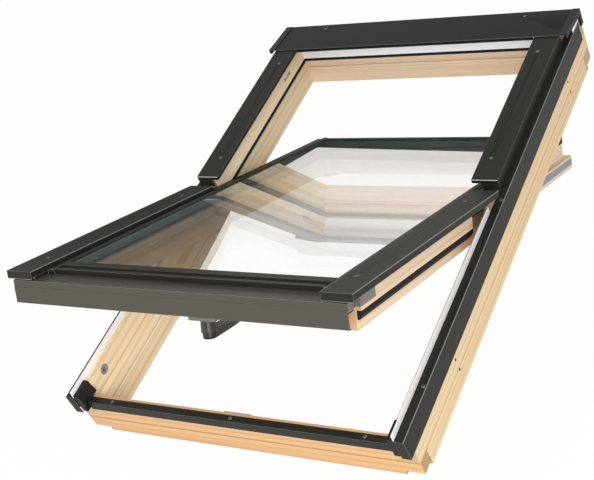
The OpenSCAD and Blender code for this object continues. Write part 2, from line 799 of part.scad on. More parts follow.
module striker_plate() color(grey_metal) difference() {
    along_x(latch_x - striker_w / 2, latch_x + striker_w / 2) polygon(folded([
        sill_edge, sill_edge + sill_lean * striker_h / (sill_h - sill_knee_z)
    ], striker_t));
    latch_pocket(striker_play);
}

module bolt_bush() color(grey_metal) translate([0, bush_y, bush_z]) difference() {
    round_x(-jamb_x - bush_depth, -jamb_x, bush_d);
    round_x(bush_floor - jamb_x - bush_depth, 0, bush_bore);
}

module batten_catch() color(grey_metal) along_x(-up_stop_x, catch_t - up_stop_x) polygon([
    [catch_y, catch_z], [catch_y + catch_l, catch_z], [catch_y + catch_l, catch_z + catch_h],
    [catch_y + catch_l / 2, catch_z + catch_h], [catch_y + catch_l / 2, catch_z + catch_h / 2],
    [catch_y + catch_l / 4, catch_z + catch_h / 2], [catch_y + catch_l / 4, catch_z + catch_h],
    [catch_y, catch_z + catch_h]
]);

// Hinge: a plate with a collared eye on the jamb
module hinge_plate() translate([0, pivot_y, pivot_z]) difference() {
    union() {
        round_x(plate_x, jamb_x, 2 * eye_r);
        round_x(plate_x - collar_l, plate_x + plate_t / 2, 2 * collar_r);
        along_x(plate_x, jamb_x) polygon([
            [-plate_low, -plate_bottom], [plate_up, -plate_bottom], [plate_up, plate_top],
            [plate_neck, plate_top], [plate_neck, -collar_r], [-collar_r, -collar_r / 2],
            [-plate_low, plate_top]
        ]);
    }
    round_x(0, frame_w, bore_d);
}

module left_hinge_plate() color(grey_metal) left() hinge_plate();

module right_hinge_plate() color(grey_metal) hinge_plate();

module frame_screws() color(grey_metal) {
    both_sides() for (at = concat(hood_screws, side_screws)) translate(at) screw();
    for (at = sill_screws) translate(at) screw();
    for (at = head_screws) translate(at) rotate([-head_slope, 0, 0]) screw();
}

// Sash timber
module stile() {
    room = [[stile_in_x, -sash_room_w], [lip_x, -sash_room_w]];
    rebate = [[rebate_x, 0], [rebate_x, glass_low_w], [stile_in_x, glass_low_w]];
    along_y(front_v, lip_front_v) polygon([
        [stile_in_x, -nose_w], [nose_x, -nose_w], [nose_x, seat_w], [seat_x, seat_w],
        [seat_x, -rail_top_w], [stile_in_x, -rail_top_w]
    ]);
    along_y(lip_front_v, -wide_end) polygon(concat(room, [
        [lip_x, -wide_w], [wide_x, -wide_w], [wide_x, seat_w], [seat_x, seat_w], [seat_x, 0]
    ], rebate));
    along_y(-wide_end, top_v)
        polygon(concat(room, [[lip_x, -lip_w], [up_x, -lip_w], [up_x, 0]], rebate));
    along_y(top_v, lip_top_v) polygon(concat(room, [[lip_x, -lip_w], [stile_in_x, -lip_w]]));
    // The cores run through every length of the section
    block([stile_in_x, front_v, -nose_w], [up_x, top_v, glass_low_w]);
    block([stile_in_x, lip_front_v, -sash_room_w], [lip_x, lip_top_v, -lip_w]);
}

module left_stile() color(timber) in_sash() left() stile();

module right_stile() color(timber) in_sash() stile();

module tongue_slot() block(
    [latch_x - tongue_w / 2 - slide_gap, front_v, tongue_low_w - slide_gap],
    [latch_x + tongue_w / 2 + slide_gap, lip_front_v + tongue_l + tongue_room,
        tongue_low_w + tongue_t + slide_gap]
);

module bottom_rail() color(timber) in_sash() difference() {
    along_x(-stile_in_x, stile_in_x) polygon([
        [front_v, -nose_w], [front_v, -rail_top_w], [glass_low_v - glass_gap, -rail_top_w],
        [glass_low_v - glass_gap, glass_low_w], [lip_front_v + bottom_rail_w, glass_low_w],
        [lip_front_v + bottom_rail_w, -sash_room_w], [lip_front_v, -sash_room_w], [lip_front_v, -nose_w]
    ]);
    tongue_slot();
}

module top_rail() color(timber) in_sash() along_x(-stile_in_x, stile_in_x) polygon([
    [lip_top_v - top_rail_w, -sash_room_w], [lip_top_v, -sash_room_w], [lip_top_v, -lip_w],
    [top_v, -lip_w], [top_v, 0], [glass_top_v + glass_gap, 0], [glass_top_v + glass_gap, glass_low_w],
    [lip_top_v - top_rail_w, glass_low_w]
]);

// Double glazing
module pane(low_w) block([-glass_x, glass_low_v, low_w], [glass_x, glass_top_v, low_w + pane_t]);

module outer_pane() color(pane_green) in_sash() pane(glass_top_w - pane_t);

module inner_pane() color(pane_green) in_sash() pane(glass_low_w);

module glazing_spacer() color(grey_metal) in_sash() difference() {
    block([-glass_x, glass_low_v, glass_low_w + pane_t], [glass_x, glass_top_v, glass_top_w - pane_t]);
    block([spacer_w - glass_x, glass_low_v + spacer_w, glass_low_w],
        [glass_x - spacer_w, glass_top_v - spacer_w, glass_top_w]);
}

// Bead over a glass edge, with a wing on the timber beyond it
module bead_outline(edge, wing_end) polygon([
    [edge - bead_w, glass_top_w], [edge + cover_gap, glass_top_w], [edge + cover_gap, 0],
    [wing_end, 0], [wing_end, wing_t], [edge - bead_round, wing_t],
    [edge - 2 * bead_round, bead_top_w], [edge - bead_w + bead_round, bead_top_w],
    [edge - bead_w, bead_top_w - bead_round]
]);

module bead() {
    along_y(glass_low_v - bead_front, top_v - sheet_t - cover_gap)
        bead_outline(glass_x, cover_in - cover_gap);
    block([glass_x - bead_w, profile_v, -rail_top_w],
        [cover_in - cover_gap, lip_front_v - cover_gap, glass_top_w + bead_h / 3]);
}

module left_bead() color(dark_cover) in_sash() left() bead();

module right_bead() color(dark_cover) in_sash() bead();

module top_bead() color(dark_cover) in_sash() along_x(-bead_in_x, bead_in_x)
    bead_outline(glass_top_v, top_v - sheet_t - cover_gap);

// Covers on the sash
module bottom_profile() color(dark_cover) in_sash() along_x(-bead_in_x, bead_in_x) {
    v1 = profile_v + ridge_w;
    v2 = v1 + gutter_w;
    polygon([
        [profile_v, -rail_top_w], [profile_v, bead_top_w], [v1, bead_top_w],
        [v1 + gutter_lean, bead_top_w - gutter_d], [v2 - gutter_lean, bead_top_w - gutter_d],
        [v2, bead_top_w], [glass_low_v + bead_w - gutter_lean, bead_top_w],
        [glass_low_v + bead_w, glass_top_w], [glass_low_v - cover_gap, glass_top_w],
        [glass_low_v - cover_gap, -rail_top_w]
    ]);
}

module sash_cover() difference() {
    union() {
        along_y(apron_v - sheet_t, cover_past) polygon(folded([
            [seat_x, 0], [seat_x, seat_w], [cover_out_x - sheet_t, seat_w],
            [cover_out_x - sheet_t, cover_top_w0 - sash_flange]
        ], sheet_t));
        block([cover_in, apron_v - sheet_t, apron_top_w + 2 * sheet_t],
            [cover_out_x, apron_v, cover_top_w0]);
    }
    for (at = cover_screws) translate(at) screw_hole();
}

module left_sash_cover() color(dark_cover) in_sash() left() sash_cover();

module right_sash_cover() color(dark_cover) in_sash() sash_cover();

// Sheet over the sash's front, stepped once and hemmed at its lower edge
module apron() color(dark_cover) in_sash() {
    along_x(-apron_x, apron_x) polygon(folded([
        [apron_v - sheet_t + apron_hem, fold_w - apron_low_h],
        [apron_v - sheet_t, fold_w - apron_low_h], [apron_v - sheet_t, fold_w - sheet_t],
        [apron_v, fold_w], [apron_v, -rail_top_w], [front_v, -rail_top_w]
    ], sheet_t));
    block([cover_gap - cover_in, front_v - sheet_t, -rail_top_w],
        [cover_in - cover_gap, front_v + apron_flat, apron_top_w]);
}

module upper_trim() {
    along_y(trim_start, top_v) polygon(folded([
        [cover_in, 0], [up_x, 0], [up_x, -trim_flange]
    ], sheet_t));
    block([cover_in, cover_past + cover_gap, 0], [up_x - cover_gap, trim_start + sheet_t, sheet_t]);
}

module left_upper_trim() color(dark_cover) in_sash() left() upper_trim();

module right_upper_trim() color(dark_cover) in_sash() upper_trim();

module top_trim() color(dark_cover) in_sash() along_x(cover_gap - cover_in, cover_in - cover_gap)
    polygon(folded([[top_v - sheet_t, 0], [top_v, 0], [top_v, -trim_flange]], sheet_t));

module seal() along_y(lip_front_v + corner_plate_in, -wide_end) polygon([
    [lip_x, -wide_w], [wide_x - cover_gap, -wide_w], [wide_x - cover_gap, -wide_w - seal_h / 2],
    [lip_x + lip_gap, -wide_w - seal_h], [lip_x, -wide_w - seal_h]
]);

module left_seal() color(black_rubber) in_sash() left() seal();

module right_seal() color(black_rubber) in_sash() seal();

module bottom_seal() color(black_rubber) in_sash() block(
    [-lip_x, lip_front_v - base_in - bottom_seal_w, -nose_w - bottom_seal_h],
    [lip_x, lip_front_v - base_in, -nose_w]
);

// Plate folded round the sash's lower corner, from the nose to the side
module corner_plate() translate([0, 0, corner_plate_in - nose_w])
    linear_extrude(nose_w + seat_w - 2 * corner_plate_in) polygon(folded([
        [wide_x, lip_front_v + corner_plate_l], [wide_x, lip_front_v - cover_gap],
        [nose_x, lip_front_v - cover_gap], [nose_x, front_v]
    ], corner_plate_t));

module left_corner_plate() color(grey_metal) in_sash() left() corner_plate();

module right_corner_plate() color(grey_metal) in_sash() corner_plate();

module lip_strip() block([lip_x, lip_strip_start, -lip_w - lip_strip_in - lip_strip_h],
    [lip_x + sheet_t, lip_top_v - lip_strip_end, -lip_w - lip_strip_in]);

module left_lip_strip() color(slate_metal) in_sash() left() lip_strip();

module right_lip_strip() color(slate_metal) in_sash() lip_strip();

// Bracket on the stile that carries the pivot pin
module pivot_bracket() {
    along_x(up_x, bracket_x) polygon([
        [-bracket_low, -bracket_w[0]], [bracket_up, -bracket_w[0]], [bracket_up, -bracket_w[1]],
        [-bracket_low, -bracket_w[1]]
    ]);
    round_x(up_x, bracket_x, 2 * collar_r);
    round_x(bracket_x - plate_t / 2, jamb_x + pin_end, pin_d);
}

module left_pivot_bracket() color(black_rubber) in_sash() left() pivot_bracket();

module right_pivot_bracket() color(black_rubber) in_sash() pivot_bracket();

module sash_screws() color(brass) in_sash() both_sides() {
    for (at = cover_screws) translate(at) screw();
    translate([gutter_screw_x, gutter_screw_v, bead_top_w - gutter_d])
        cylinder(d1 = screw_d, d2 = screw_d - screw_h, h = screw_h);
    for (v = bracket_screw_v) translate([bracket_x, -v, -(bracket_w[0] + bracket_w[1]) / 2])
        rotate([0, 90, 0]) cylinder(d1 = screw_d, d2 = screw_d - screw_h, h = screw_h);
}

// Handle, latch and cleaning bolt
module rounded_plate(w, l, r, h) linear_extrude(h) {
    square([w - 2 * r, l], center = true);
    square([w, l - 2 * r], center = true);
    for (x = [r - w / 2, w / 2 - r], y = [r - l / 2, l / 2 - r]) translate([x, y]) circle(r);
}

module handle_base() color(grey_metal) in_sash() translate([latch_x, handle_v, base_low_w]) difference() {
    rounded_plate(base_w, base_l, base_r, base_t);
    translate([0, 0, -base_t]) cylinder(d = spindle_bore_d, h = 3 * base_t);
}

module handle_lever() color(grey_metal) in_sash() translate([latch_x, handle_v, base_low_w - slide_gap]) {
    translate([0, 0, -slide_gap]) cylinder(d = spindle_d, h = base_t);
    translate([0, 0, -neck_l]) cylinder(d1 = neck_end_d, d2 = neck_d, h = neck_l);
}

module handle_grip() color(black_rubber) in_sash()
    translate([latch_x, handle_v, base_low_w - slide_gap - neck_l - grip_t]) intersection() {
        linear_extrude(grip_t) {
            circle(d = grip_w);
            translate([-grip_w / 2, 0]) square([grip_w, grip_l - grip_w]);
            translate([0, grip_l - grip_w]) circle(d = grip_w);
        }
        along_x(-grip_w, grip_w) polygon([
            [-grip_w, 0], [grip_l / 2, 0], [grip_l, grip_rise], [grip_l, grip_t], [-grip_w, grip_t]
        ]);
    }

module latch_tongue() color(bright_metal) in_sash() block(
    [latch_x - tongue_w / 2, lip_front_v + slide_gap, tongue_low_w],
    [latch_x + tongue_w / 2, lip_front_v + tongue_l, tongue_low_w + tongue_t]
);

module bolt_case() color(grey_metal) in_sash() translate([case_x, bolt_v, bolt_w]) difference() {
    translate([case_l / 2, 0, -case_h / 2]) rounded_plate(case_l, case_w, case_r, case_h);
    round_x(-case_l, 2 * case_l, bolt_bore_d);
}

module cleaning_bolt() color(bright_metal) in_sash() translate([case_x, bolt_v, bolt_w]) {
    round_x(0, case_l + bolt_travel + slide_gap + knob_l / 2, bolt_d);
    translate([case_l + bolt_travel + slide_gap, 0, 0]) round_x(0, knob_l, knob_d);
}

left_jamb();
right_jamb();
head_rail();
sill_rail();
left_stop_batten();
right_stop_batten();
left_jamb_cover();
right_jamb_cover();
left_upper_cover();
right_upper_cover();
head_cover();
left_end_cap();
right_end_cap();
sill_cover();
left_corner_block();
right_corner_block();
left_weather_strip();
right_weather_strip();
head_strip();
frame_gasket();
striker_plate();
bolt_bush();
batten_catch();
left_hinge_plate();
right_hinge_plate();
frame_screws();
left_stile();
right_stile();
bottom_rail();
top_rail();
outer_pane();
inner_pane();
glazing_spacer();
left_bead();
right_bead();
top_bead();
bottom_profile();
left_sash_cover();
right_sash_cover();
apron();
left_upper_trim();
right_upper_trim();
top_trim();
left_seal();
right_seal();
bottom_seal();
left_corner_plate();
right_corner_plate();
left_lip_strip();
right_lip_strip();
left_pivot_bracket();
right_pivot_bracket();
sash_screws();
handle_base();
bolt_case();
handle_lever();
handle_grip();
latch_tongue();
cleaning_bolt();
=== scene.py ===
import json
import math

import bmesh
import bpy
from mathutils import Matrix, Vector


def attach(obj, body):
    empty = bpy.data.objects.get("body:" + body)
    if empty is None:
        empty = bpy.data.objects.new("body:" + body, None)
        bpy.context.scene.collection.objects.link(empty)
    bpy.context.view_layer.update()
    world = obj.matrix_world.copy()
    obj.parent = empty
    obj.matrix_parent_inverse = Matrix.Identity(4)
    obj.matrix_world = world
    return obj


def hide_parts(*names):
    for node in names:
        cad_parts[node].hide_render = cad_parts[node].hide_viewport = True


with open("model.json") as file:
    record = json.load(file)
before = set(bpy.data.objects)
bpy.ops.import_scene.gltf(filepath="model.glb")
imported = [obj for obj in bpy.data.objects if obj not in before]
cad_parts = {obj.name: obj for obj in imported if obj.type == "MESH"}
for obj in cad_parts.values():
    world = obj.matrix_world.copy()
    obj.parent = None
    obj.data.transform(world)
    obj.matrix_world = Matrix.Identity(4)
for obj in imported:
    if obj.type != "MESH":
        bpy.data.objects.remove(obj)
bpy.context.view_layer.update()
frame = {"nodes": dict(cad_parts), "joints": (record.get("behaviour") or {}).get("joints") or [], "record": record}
nodes = frame["nodes"]
scene = bpy.context.scene
mm = 0.001
jointOf = {joint["name"]: joint for joint in frame["joints"]}
pivot = Vector(jointOf["sash_pivot"]["pos_m"])
openAngle = math.radians(28.6)
sashPlace = Matrix.Translation(pivot) @ Matrix.Rotation(-openAngle, 4, "X")  # from sash to frame
print("frame loaded:", len(nodes), "nodes")

# camera at the photograph's angle, fitted to the frame's corners and screws
cameraLook = {
    "lens": 75.04,
    "sensor": 36.0,
    "place": (1.35925, -1.65380, 1.78500),
    "right": (0.847847, 0.387926, -0.361481),
    "up": (-0.036039, 0.722314, 0.690626),
    "back": (0.529015, -0.572518, 0.626392),
}
cameraData = bpy.data.cameras.new("photoCamera")
cameraData.lens = cameraLook["lens"]
cameraData.sensor_width = cameraLook["sensor"]
cameraData.sensor_fit = "HORIZONTAL"
camera = bpy.data.objects.new("photoCamera", cameraData)
turn = Matrix((cameraLook["right"], cameraLook["up"], cameraLook["back"])).transposed()
camera.matrix_world = Matrix.Translation(cameraLook["place"]) @ turn.to_4x4()
scene.collection.objects.link(camera)
scene.camera = camera
scene.view_settings.view_transform = "Standard"
print("camera set")


def addNode(tree, kind, inputs=None, **settings):
    made = tree.nodes.new(kind)
    for key, value in settings.items():
        setattr(made, key, value)
    for key, value in (inputs or {}).items():
        if isinstance(value, bpy.types.NodeSocket):
            tree.links.new(value, made.inputs[key])
        else:
            made.inputs[key].default_value = value
    return made


def maths(tree, operation, *values, clamp=False):
    made = addNode(tree, "ShaderNodeMath", dict(enumerate(values)), operation=operation,
                   use_clamp=clamp)
    return made.outputs["Value"]


def vectorMaths(tree, operation, first, second):
    made = addNode(tree, "ShaderNodeVectorMath", {0: first, 1: second}, operation=operation)
    return made.outputs["Value"]


def mixColour(tree, amount, first, second, way="MIX"):
    made = addNode(tree, "ShaderNodeMix", {0: amount, 6: first, 7: second}, data_type="RGBA",
                   blend_type=way)
    return made.outputs[2]


def ramp(tree, source, stops):
    made = addNode(tree, "ShaderNodeValToRGB", {"Fac": source})
    band = made.color_ramp
    while len(band.elements) < len(stops):
        band.elements.new(0.5)
    for element, (place, colour) in zip(band.elements, stops):
        element.position = place
        element.color = (*colour, 1.0)
    return made.outputs["Color"]


def span(tree, source, low, high, start=0.0, end=1.0):
    made = addNode(tree, "ShaderNodeMapRange", {"Value": source, "From Min": start, "From Max": end,
                                                "To Min": low, "To Max": high})
    return made.outputs["Result"]


def startMaterial(name, shader):
    made = bpy.data.materials.new(name)
    made.use_nodes = True
    tree = made.node_tree
    surface = tree.nodes["Principled BSDF"]
    for key, value in shader.items():
        surface.inputs[key].default_value = value
    return made, tree, surface


# a material whose surface isn't the usual shader
def startBare(name):
    made = bpy.data.materials.new(name)
    made.use_nodes = True
    tree = made.node_tree
    tree.nodes.remove(tree.nodes["Principled BSDF"])
    return made, tree


def setSurface(tree, shader):
    tree.links.new(shader, tree.nodes["Material Output"].inputs["Surface"])


def placedCoords(tree, scale, location=(0, 0, 0), tilt=0.0):
    coords = addNode(tree, "ShaderNodeTexCoord")
    turned = addNode(tree, "ShaderNodeMapping", {
        "Vector": coords.outputs["Object"], "Location": location, "Rotation": (tilt, 0, 0),
    }, vector_type="TEXTURE")
    scaled = addNode(tree, "ShaderNodeMapping", {"Vector": turned.outputs["Vector"],
                                                 "Scale": scale})
    return scaled.outputs["Vector"]


def noise(tree, vector, scale, detail, rough=0.55):
    made = addNode(tree, "ShaderNodeTexNoise", {"Vector": vector, "Scale": scale, "Detail": detail,
                                                "Roughness": rough})
    return made.outputs["Fac"]


def bump(tree, surface, height, strength, distance):
    made = addNode(tree, "ShaderNodeBump", {"Height": height, "Strength": strength,
                                            "Distance": distance})
    tree.links.new(made.outputs["Normal"], surface.inputs["Normal"])


# how near a point is to a line along one axis; both sides are alike across x
def nearLine(tree, source, axis, place, near, far, most, beyond=0.0):
    parts = addNode(tree, "ShaderNodeSeparateXYZ", {0: source})
    across = maths(tree, "ABSOLUTE", parts.outputs["X"])
    sides = {"X": across, "Y": parts.outputs["Y"], "Z": parts.outputs["Z"]}
    del sides[axis]
    flat = addNode(tree, "ShaderNodeCombineXYZ", sides).outputs["Vector"]
    apart = vectorMaths(tree, "DISTANCE", flat, [part * mm for part in place])
    made = span(tree, apart, most, 0.0, near * mm, far * mm)
    return maths(tree, "MULTIPLY", made, maths(tree, "GREATER_THAN", across, beyond * mm))


black, white = (0, 0, 0), (1, 1, 1)
# fade, patch, streak and fibre are noises: scale, detail and roughness
pineLook = {
    "shader": {"Coat Weight": 0.08, "Coat Roughness": 0.4, "Specular IOR Level": 0.3},
    "along": 0.035,
    "ring": {"Scale": 21.0, "Distortion": 14.0, "Detail": 2.0, "Detail Scale": 0.12,
             "Detail Roughness": 0.5},
    "lines": [(0.0, black), (0.55, (0.12,) * 3), (0.93, white)],
    "fade": (38.0, 2.0), "fadeRange": (-0.15, 1.05),
    "patch": (16.0, 2.0), "patches": [(0.52, black), (0.72, white)], "patchMost": 0.6,
    "streak": (170.0, 4.0, 0.65), "streakRange": (0.88, 1.11),
    "fibre": (900.0, 4.0, 0.6), "rough": (0.42, 0.60), "bump": (0.12, 0.0004),
    "ends": [(0.80, black), (0.92, (0.75,) * 3)], "endGrain": (0.44, 0.25, 0.11, 1),
    "glue": (0.42, 0.27, 0.13, 1), "glueWide": 0.0006, "glueMost": 0.7,
    # hole: painted shade, the dark colour put in and round each fixing hole
    "hole": (0.02, 0.012, 0.006, 1), "holeNear": 2.8, "holeFar": 3.6, "holeMost": 0.95,
    "holeEnd": 365.0,
}
boards = {
    "cream": {"early": (0.77, 0.575, 0.335, 1), "late": (0.60, 0.385, 0.18, 1),
              "heart": (0.68, 0.40, 0.18, 1)},
    "pale": {"early": (0.86, 0.685, 0.45, 1), "late": (0.70, 0.49, 0.265, 1),
             "heart": (0.76, 0.49, 0.25, 1)},
    # light: a brighter board for the stop battens, painted light making up for the shade that falls on them
    "light": {"early": (0.94, 0.79, 0.58, 1), "late": (0.82, 0.62, 0.38, 1),
              "heart": (0.86, 0.62, 0.38, 1)},
    "rosy": {"early": (0.82, 0.62, 0.43, 1), "late": (0.66, 0.44, 0.26, 1),
             "heart": (0.70, 0.44, 0.245, 1)},
    "warm": {"early": (0.61, 0.365, 0.168, 1), "late": (0.45, 0.235, 0.085, 1),
             "heart": (0.51, 0.265, 0.10, 1)},
}


# pine with rings round a pith beside the piece, so that every face has its own lines
def pine(name, axis, pith, board, tilt, glueLines, holes):
    look, wood = pineLook, boards[board]
    made, tree, surface = startMaterial(name, look["shader"])
    stretch = [1.0, 1.0, 1.0]
    stretch["XYZ".index(axis)] = look["along"]
    vector = placedCoords(tree, stretch, pith, tilt)
    rings = addNode(tree, "ShaderNodeTexWave", {"Vector": vector, **look["ring"]},
                    wave_type="RINGS", rings_direction=axis)
    lines = ramp(tree, rings.outputs["Fac"], look["lines"])
    strength = span(tree, noise(tree, vector, *look["fade"]), *look["fadeRange"])
    strength = maths(tree, "MULTIPLY", lines, strength, clamp=True)
    colour = mixColour(tree, strength, wood["early"], wood["late"])
    patches = ramp(tree, noise(tree, vector, *look["patch"]), look["patches"])
    colour = mixColour(tree, span(tree, patches, 0.0, look["patchMost"]), colour, wood["heart"])
    shade = span(tree, noise(tree, vector, *look["streak"]), *look["streakRange"])
    grey = addNode(tree, "ShaderNodeCombineColor", {"Red": shade, "Green": shade, "Blue": shade})
    colour = mixColour(tree, 1.0, colour, grey.outputs["Color"], "MULTIPLY")

    # end grain, glue lines, and painted shade: dark rims in and round the holes
    coords = addNode(tree, "ShaderNodeTexCoord")
    along = Matrix.Rotation(tilt, 3, "X") @ Vector([float(letter == axis) for letter in "XYZ"])
    facing = vectorMaths(tree, "DOT_PRODUCT", coords.outputs["Normal"], along)
    ends = ramp(tree, maths(tree, "ABSOLUTE", facing), look["ends"])
    colour = mixColour(tree, ends, colour, look["endGrain"])
    heights = addNode(tree, "ShaderNodeSeparateXYZ", {0: coords.outputs["Object"]}).outputs["Z"]
    for level in glueLines:
        close = maths(tree, "COMPARE", heights, level * mm, look["glueWide"])
        colour = mixColour(tree, span(tree, close, 0.0, look["glueMost"]), colour, look["glue"])
    # painted shade: each fixing hole gets a dark rim, standing in for the shade that falls into it
    for y, z in holes:
        dark = nearLine(tree, coords.outputs["Object"], "X", (0, y, z), look["holeNear"],
                        look["holeFar"], look["holeMost"], look["holeEnd"])
        colour = mixColour(tree, dark, colour, look["hole"])
    tree.links.new(colour, surface.inputs["Base Color"])

    fibres = noise(tree, vector, *look["fibre"])
    tree.links.new(span(tree, fibres, *look["rough"]), surface.inputs["Roughness"])
    bump(tree, surface, maths(tree, "ADD", fibres, lines), *look["bump"])
    return made


# painted highlight: paint is made a little lighter along folds and rims, where light glints on them
coverHighlightLook = {"reach": 0.0016, "most": 0.8, "colour": (0.24, 0.24, 0.225, 1), "samples": 6,
            "alike": (0.985, 0.85), "foldNear": 0.8, "foldFar": 1.8}


def edgeHighlightMask(tree, highlightLook):
    # painted highlight mask: near an edge the rounded normal parts from the true one
    soft = addNode(tree, "ShaderNodeBevel", {"Radius": highlightLook["reach"]}, samples=highlightLook["samples"])
    flat = addNode(tree, "ShaderNodeNewGeometry")
    alike = vectorMaths(tree, "DOT_PRODUCT", soft.outputs["Normal"], flat.outputs["True Normal"])
    return span(tree, alike, 0.0, highlightLook["most"], *highlightLook["alike"])


finishLook = {"wide": (9.0, 3.0), "fine": (3.0, 0.6), "bump": 0.0003}


# painted, moulded or rolled finish: a base colour that drifts a little, with its own grain
def finish(name, colour, drift, rough, grain, depth, specular=0.5, metallic=0.0,
           stretch=(1, 1, 1), highlightLook=None, folds=(), inSash=False):
    made, tree, surface = startMaterial(name, {"Specular IOR Level": specular,
                                               "Metallic": metallic})
    vector = placedCoords(tree, stretch)
    wide = noise(tree, vector, *finishLook["wide"])
    fine = noise(tree, vector, grain, *finishLook["fine"])
    darker = (*(part * (1.0 - drift) for part in colour), 1)
    lighter = (*(min(1.0, part * (1.0 + drift)) for part in colour), 1)
    base = mixColour(tree, wide, darker, lighter)
    base = mixColour(tree, span(tree, fine, 0.0, drift), base, lighter, "SCREEN")
    # painted highlight: the paint is lightened along edges and rims
    if highlightLook:
        base = mixColour(tree, edgeHighlightMask(tree, highlightLook), base, highlightLook["colour"])
    origin, tilt = (pivot, -openAngle) if inSash else ((0, 0, 0), 0.0)
    # painted highlight: a lighter line along each given fold
    for x, height in folds:
        foldHighlightMask = nearLine(tree, placedCoords(tree, (1, 1, 1), origin, tilt), "Y", (x, 0, height),
                        highlightLook["foldNear"], highlightLook["foldFar"], highlightLook["most"])
        base = mixColour(tree, foldHighlightMask, base, highlightLook["colour"])
    tree.links.new(base, surface.inputs["Base Color"])
    tree.links.new(span(tree, fine, *rough), surface.inputs["Roughness"])
    bump(tree, surface, fine, depth, finishLook["bump"])
    return made


coverColour = (0.0165, 0.0168, 0.0130)
coverLook = {"drift": 0.10, "rough": (0.36, 0.5), "grain": 1400.0, "depth": 0.10, "specular": 0.12,
             "highlightLook": coverHighlightLook}
coverPaint = finish("coverPaint", coverColour, **coverLook)
# copies of the cover paint with painted highlight lines along their folds
jambCoverPaint = finish("jambCoverPaint", coverColour, folds=((391.2, 128.4),), **coverLook)
sashCoverPaint = finish("sashCoverPaint", coverColour, folds=((385, 13.2), (322, 13.2)),
                        inSash=True, **coverLook)
# painted shade: a darker copy of the cover paint for the head cover, standing in for the weaker light it takes
shadedHeadPaint = finish("shadedHeadPaint", (0.006, 0.0062, 0.005), **coverLook)
# painted light: the apron's paint is the cover paint made lighter and browner, standing in for the light thrown up
# onto it from the floor
litApronPaint = finish("litApronPaint", (0.060, 0.0545, 0.0455), 0.08, (0.34, 0.48), 1400.0, 0.10,
                    specular=0.15, highlightLook=coverHighlightLook)
blackPlastic = finish("blackPlastic", (0.005, 0.005, 0.005), 0.25, (0.42, 0.6), 2200.0, 0.18,
                      specular=0.25)
gripPlastic = finish("gripPlastic", (0.006, 0.006, 0.006), 0.25, (0.22, 0.34), 2200.0, 0.08,
                     specular=0.4)
rubber = finish("sealRubber", (0.008, 0.008, 0.009), 0.2, (0.6, 0.8), 1500.0, 0.2,
                specular=0.2)
# aluminium strips: a pale metal colour made matt and near-white, partly painted reflection of the white around
# them and partly painted light against the shade under the head cover
whitenedAluminium = finish("whitenedAluminium", (0.91, 0.92, 0.925), 0.03, (0.36, 0.48), 700.0, 0.05,
                         stretch=(0.04, 1, 1))
slateStrip = finish("slateStrip", (0.20, 0.245, 0.30), 0.08, (0.36, 0.48), 1400.0, 0.08,
                    specular=0.4)
darkSteel = finish("darkSteel", (0.022, 0.022, 0.022), 0.15, (0.32, 0.46), 900.0, 0.08,
                   metallic=0.4)
neckSteel = finish("neckSteel", (0.030, 0.029, 0.027), 0.12, (0.22, 0.36), 900.0, 0.05,
                   metallic=0.3)
zincSteel = finish("zincSteel", (0.36, 0.36, 0.35), 0.10, (0.30, 0.46), 500.0, 0.06, metallic=0.9)
screwSteel = finish("screwSteel", (0.14, 0.14, 0.132), 0.15, (0.26, 0.4), 500.0, 0.06,
                    metallic=0.8)
greyPlastic = finish("greyPlastic", (0.23, 0.23, 0.225), 0.06, (0.42, 0.56), 2000.0, 0.12,
                     specular=0.35)
baseGrey = finish("baseGrey", (0.13, 0.125, 0.112), 0.08, (0.36, 0.5), 1600.0, 0.10,
                  specular=0.35)
cornerSheet = finish("cornerSheet", (0.150, 0.138, 0.120), 0.10, (0.16, 0.28), 800.0, 0.05)
spacerMetal = finish("spacerMetal", (0.150, 0.190, 0.185), 0.10, (0.4, 0.55), 600.0, 0.05,
                     metallic=0.2)
brass = finish("brassPlate", (0.50, 0.36, 0.16), 0.10, (0.28, 0.42), 600.0, 0.06, metallic=1.0)

# coated float glass, too thin to bend what is seen through it, with a faint film of dust;
# light that passes to what is behind it is dimmed
paneLook = {"film": [(0.4, (0.999, 1.0, 0.999)), (0.8, (0.98, 0.987, 0.984))],
            "dust": (14.0, 5.0, 0.6), "shade": (0.84, 0.865, 0.87, 1.0), "ior": 1.5,
            "coating": 1.9}
paneGlass, tree = startBare("paneGlass")
vector = placedCoords(tree, (1, 1, 1), tilt=-openAngle)
film = ramp(tree, noise(tree, vector, *paneLook["dust"]), paneLook["film"])
lightPath = addNode(tree, "ShaderNodeLightPath")
lighting = maths(tree, "MAXIMUM", lightPath.outputs["Is Shadow Ray"],
                 lightPath.outputs["Is Diffuse Ray"])
passed = mixColour(tree, lighting, film, paneLook["shade"])
clear = addNode(tree, "ShaderNodeBsdfTransparent", {"Color": passed})
mirror = addNode(tree, "ShaderNodeBsdfGlossy", {"Color": film, "Roughness": 0.0})
edgeOn = addNode(tree, "ShaderNodeFresnel", {"IOR": paneLook["ior"]})
coated = maths(tree, "MULTIPLY", edgeOn.outputs["Fac"], paneLook["coating"], clamp=True)
side = addNode(tree, "ShaderNodeNewGeometry")
front = maths(tree, "SUBTRACT", 1.0, side.outputs["Backfacing"])
mirrored = maths(tree, "MULTIPLY", coated, front)
pane = addNode(tree, "ShaderNodeMixShader", {0: mirrored, 1: clear.outputs["BSDF"],
                                             2: mirror.outputs["BSDF"]})
setSurface(tree, pane.outputs["Shader"])

